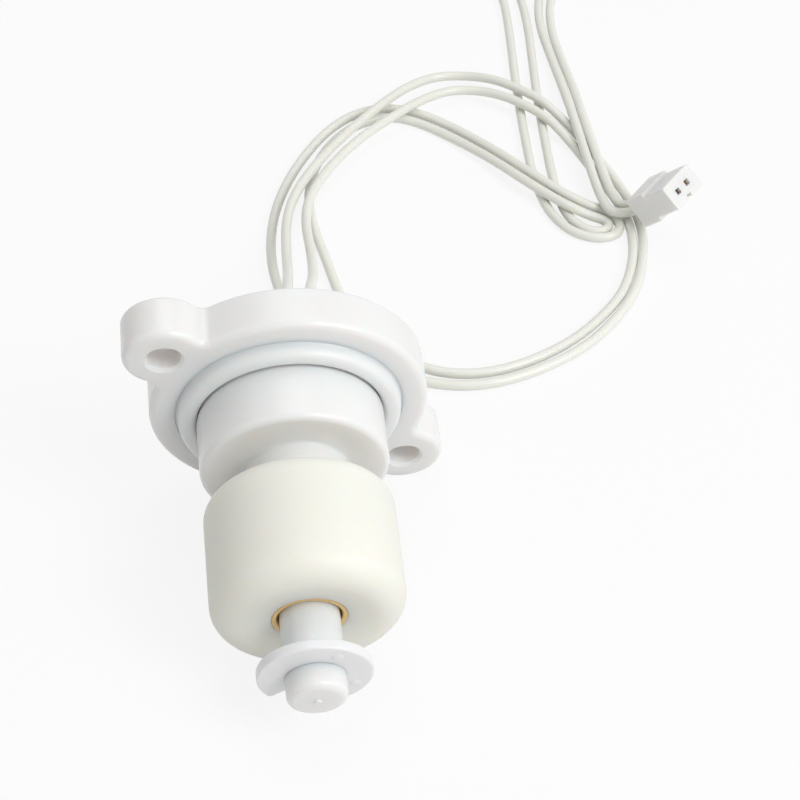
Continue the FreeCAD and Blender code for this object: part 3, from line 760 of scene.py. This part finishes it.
def build_twisted_strands():
    """Geometry tree: six strands wound round a seventh."""
    tree, entry, leave = new_shape_tree("twisted_strands", strand_sizes)
    size = entry.outputs
    link = tree.links.new
    line = tree.nodes.new("GeometryNodeCurvePrimitiveLine")
    link(point_socket(tree, z=size["Length"]), line.inputs["End"])
    divided = tree.nodes.new("GeometryNodeResampleCurve")
    divided.inputs["Count"].default_value = points_per_strand
    link(line.outputs[0], divided.inputs["Curve"])
    copies = tree.nodes.new("GeometryNodeDuplicateElements")
    copies.domain = "SPLINE"
    copies.inputs["Amount"].default_value = wound_strands
    link(divided.outputs[0], copies.inputs["Geometry"])
    along = tree.nodes.new("GeometryNodeSplineParameter")
    start_turn = node_math(tree, "DIVIDE", copies.outputs["Duplicate Index"], float(wound_strands))
    gained_turn = node_math(tree, "MULTIPLY", along.outputs["Factor"], size["Turns"])
    angle = node_math(tree, "MULTIPLY", node_math(tree, "ADD", start_turn, gained_turn), math.tau)
    sideways = node_math(tree, "MULTIPLY", node_math(tree, "COSINE", angle), size["Lay radius"])
    upward = node_math(tree, "MULTIPLY", node_math(tree, "SINE", angle), size["Lay radius"])
    wound = tree.nodes.new("GeometryNodeSetPosition")
    link(copies.outputs[0], wound.inputs["Geometry"])
    link(point_socket(tree, sideways, upward), wound.inputs["Offset"])
    bundle = tree.nodes.new("GeometryNodeJoinGeometry")
    link(divided.outputs[0], bundle.inputs[0])
    link(wound.outputs[0], bundle.inputs[0])
    section = tree.nodes.new("GeometryNodeCurvePrimitiveCircle")
    section.inputs["Resolution"].default_value = steps_round_strand
    link(size["Strand radius"], section.inputs["Radius"])
    drawn = tree.nodes.new("GeometryNodeCurveToMesh")
    drawn.inputs["Fill Caps"].default_value = True
    link(bundle.outputs[0], drawn.inputs["Curve"])
    link(section.outputs[0], drawn.inputs["Profile Curve"])
    end_tree(tree, entry, leave, drawn.outputs[0])
    return tree


twisted_strands = build_twisted_strands()
print("strand tree", len(twisted_strands.nodes), "nodes")

# %% [markdown]
# ## The wires' sleeve
#
# The sleeve is soft ivory plastic with a dull shine. It is thin, so light goes a millimetre into it and
# its shaded side stays pale. The curves already carry this material, so filling it in colours them,
# and the two leads inside the stem get the same.

# %% Finish the wires
wire_skin = make_plastic(
    "wire_ivory_sleeve", (0.83, 0.832, 0.775), (0.80, 0.805, 0.745), (0.28, 0.36),
    patches=110.0, grain=3800.0, bump=0.000005,
    scatter=0.35, scatter_depth=(0.0012, 0.0010, 0.0007),
)
for name in ("inner_lead_short", "inner_lead_long"):
    finish_node(name, wire_skin)
print("wires finished")

# %% [markdown]
# ## Resin, plug and metals
#
# The resin in the flange's back was poured and set on its own, so it is glossy with slow waves. The
# plug is moulded in nylon, a trace warmer than the body. The sleeves on the solder joints are black.

# %% Finish the resin and the plug
potting_resin = make_plastic(
    "potting_ivory_resin", (0.78, 0.75, 0.64), (0.70, 0.66, 0.53), (0.16, 0.3),
    patches=220.0, grain=900.0, bump=0.00006, strength=0.35, scatter=0.15,
)
plug_plastic = make_plastic(
    "plug_white_nylon", (0.84, 0.836, 0.82), (0.82, 0.815, 0.795), (0.3, 0.36),
    patches=160.0, grain=5000.0, bump=0.000004,
    scatter=0.5, scatter_depth=(0.0020, 0.0015, 0.0011),
)
sleeve_plastic = make_plastic(
    "joint_black_sleeve", (0.02, 0.02, 0.02), (0.012, 0.012, 0.012), (0.4, 0.5),
)
finish_node("back_potting", potting_resin)
finish_node("plug_housing", plug_plastic)
for name in ("lead_sleeve_upper", "lead_sleeve_lower"):
    finish_node(name, sleeve_plastic)
print("resin, plug and sleeves finished")

# %% [markdown]
# A metal takes the same uneven skin, with smaller patches and finer grain, and a shader that is
# metallic all through. Its colour is then the colour of its reflections: yellow for the brass
# contacts, pink brown for the copper strands and grey for the reed's blades and the solder.

# %% Finish the metals
def make_metal(name, light, deep, roughness):
    """The shared skin with a fully metallic shader."""
    material = make_plastic(name, light, deep, roughness, patches=900.0, grain=9000.0, bump=0.00001)
    material.node_tree.nodes["Principled BSDF"].inputs["Metallic"].default_value = 1.0
    return material


contact_metal = make_metal("contact_tinned_brass", (0.95, 0.80, 0.46), (0.88, 0.70, 0.36), (0.3, 0.42))
strand_metal = make_metal("strand_tinned_copper", (0.80, 0.60, 0.45), (0.70, 0.48, 0.34), (0.25, 0.4))
blade_metal = make_metal("blade_nickel_iron", (0.62, 0.60, 0.57), (0.52, 0.50, 0.47), (0.22, 0.36))
solder_metal = make_metal("solder_bright_tin", (0.72, 0.72, 0.74), (0.6, 0.6, 0.62), (0.2, 0.34))
for side in ("one", "two"):
    finish_node("plug_contact_" + side, contact_metal)
for end in ("upper", "lower"):
    finish_node("reed_blade_" + end, blade_metal)
    finish_node("lead_solder_" + end, solder_metal)
print("metals finished")

# %% [markdown]
# The reed's tube is plain clear glass with a green tint. It is sealed inside the stem, so it needs no
# flaws of its own.

# %% Finish the glass
glass = bpy.data.materials.new("reed_tube_glass")
glass.use_nodes = True
glass_shader = glass.node_tree.nodes["Principled BSDF"]
glass_shader.inputs["Base Color"].default_value = (0.75, 0.9, 0.8, 1.0)
glass_shader.inputs["Roughness"].default_value = 0.05
glass_shader.inputs["Transmission Weight"].default_value = 1.0
finish_node("reed_glass", glass)
print("glass finished")

# %% [markdown]
# ## The strands in the plug
#
# Each bundle lies on the line of its packed rod, which is the direction in which its wire enters the
# plug. A bundle is three strands wide, so a strand's radius is a third of the rod's, less a little so
# that the bundle stays inside the rod's outline.

# %% Put the strands in the crimps
inside_rod = 0.98
strand_turns = 0.8


def lay_strands(side, wire_route):
    """Replaces one bared conductor with seven twisted strands on the same line."""
    rod = nodes["bare_end_" + side]
    direction = (Vector(wire_route[-1]) - Vector(wire_route[-2])).normalized()
    origin = Vector(wire_route[-1])
    across = direction.orthogonal().normalized()
    for way in (across, direction.cross(across)):
        reaches = [(vertex.co - origin).dot(way) for vertex in rod.data.vertices]
        origin += way * (min(reaches) + max(reaches)) / 2
    reach = along_and_out(rod, origin, direction)
    start = min(along for along, out in reach)
    end = max(along for along, out in reach)
    strand_radius = inside_rod * max(out for along, out in reach) / 3
    sizes = {
        "Length": end - start,
        "Strand radius": strand_radius,
        "Lay radius": 2 * strand_radius,
        "Turns": strand_turns,
        "Material": strand_metal,
    }
    place = place_along(origin + direction * start, direction)
    strands = grown_mesh("copper_strands_" + side, twisted_strands, sizes, place)
    _, open_edges = tidy_normals(strands)
    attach(strands, "switch_body")
    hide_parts("bare_end_" + side)
    print("strands", side, len(strands.data.polygons), "faces", open_edges, "open edges")


for side, route in (("one", wire_one_route), ("two", wire_two_route)):
    lay_strands(side, route)

# %% [markdown]

# %% [markdown]
# ## The table and the light
#
# The switch lies on a white table that fades into a white room with no edge between them. Light strong
# enough to make a table look that white would bleach the white moulding too. So the table and the room
# are brighter for the rays that see them, directly, in a reflection or through glass, than for the
# rays that light the object. The helper gives 1 for the first kind and 0 for the rest.

# %% A helper that tells which rays see the background
def seen_rays(tree):
    """1 for the rays that see the background directly, in a reflection or through glass."""
    ray = tree.nodes.new("ShaderNodeLightPath").outputs
    plain = node_math(tree, "MAXIMUM", ray["Is Camera Ray"], ray["Is Glossy Ray"])
    return node_math(tree, "MAXIMUM", plain, ray["Is Transmission Ray"])


print("ray helper ready")

# %% [markdown]
# The table mixes a matt white with a white glow. The glow's share is under 1, so the matt part still
# takes the object's soft shadow.

# %% Build the table
table_size = 6.0
glow_share = 0.85
bpy.ops.mesh.primitive_plane_add(size=table_size, location=(0.0, 0.0, 0.0))
table = bpy.context.object
table.name = "table"
table_white = bpy.data.materials.new("table_white")
table_white.use_nodes = True
tree = table_white.node_tree
shader = tree.nodes["Principled BSDF"]
shader.inputs["Base Color"].default_value = (0.85, 0.85, 0.85, 1.0)
shader.inputs["Roughness"].default_value = 0.7
shader.inputs["Specular IOR Level"].default_value = 0.2
glow = tree.nodes.new("ShaderNodeEmission")
glow.inputs["Color"].default_value = (1.0, 1.0, 1.0, 1.0)
glow.inputs["Strength"].default_value = 1.0
mix = tree.nodes.new("ShaderNodeMixShader")
share = node_math(tree, "MULTIPLY", seen_rays(tree), glow_share)
tree.links.new(share, mix.inputs["Fac"])
tree.links.new(shader.outputs[0], mix.inputs[1])
tree.links.new(glow.outputs[0], mix.inputs[2])
tree.links.new(mix.outputs[0], tree.nodes["Material Output"].inputs["Surface"])
table.data.materials.append(table_white)
print("table", table_size, "m wide")

# %% [markdown]
# The room is one even white. It looks fully white, and lights the object at less than half of that.

# %% Light the room
room_light = 0.45
room_seen = 1.0
world = bpy.data.worlds.new("studio")
bpy.context.scene.world = world
world.use_nodes = True
tree = world.node_tree
sky = tree.nodes["Background"]
sky.inputs["Color"].default_value = (1.0, 1.0, 1.0, 1.0)
level = tree.nodes.new("ShaderNodeMapRange")
level.inputs["To Min"].default_value = room_light
level.inputs["To Max"].default_value = room_seen
tree.links.new(seen_rays(tree), level.inputs["Value"])
tree.links.new(level.outputs["Result"], sky.inputs["Strength"])
print("room lit at", room_light)

# %% [markdown]
# Two large square lamps give the forms their shading: a key from the right and in front, and a weaker
# one from above and behind. Both are wide, so their shadows have no hard edge.

# %% Place the lamps
lit_point = (0.0, 0.0, 0.01)


def softbox(name, place, size, watts):
    """A square area lamp that looks at the switch."""
    data = bpy.data.lights.new(name, "AREA")
    data.size = size
    data.energy = watts
    lamp = bpy.data.objects.new(name, data)
    bpy.context.scene.collection.objects.link(lamp)
    lamp.location = place
    lamp.rotation_euler = (Vector(lit_point) - Vector(place)).to_track_quat("-Z", "Y").to_euler()


softbox("key_softbox", place=(0.45, -0.35, 0.55), size=0.40, watts=3.4)
softbox("top_softbox", place=(0.05, 0.25, 0.75), size=0.45, watts=1.1)
bpy.context.scene.view_settings.view_transform = "Standard"
print("lamps placed")
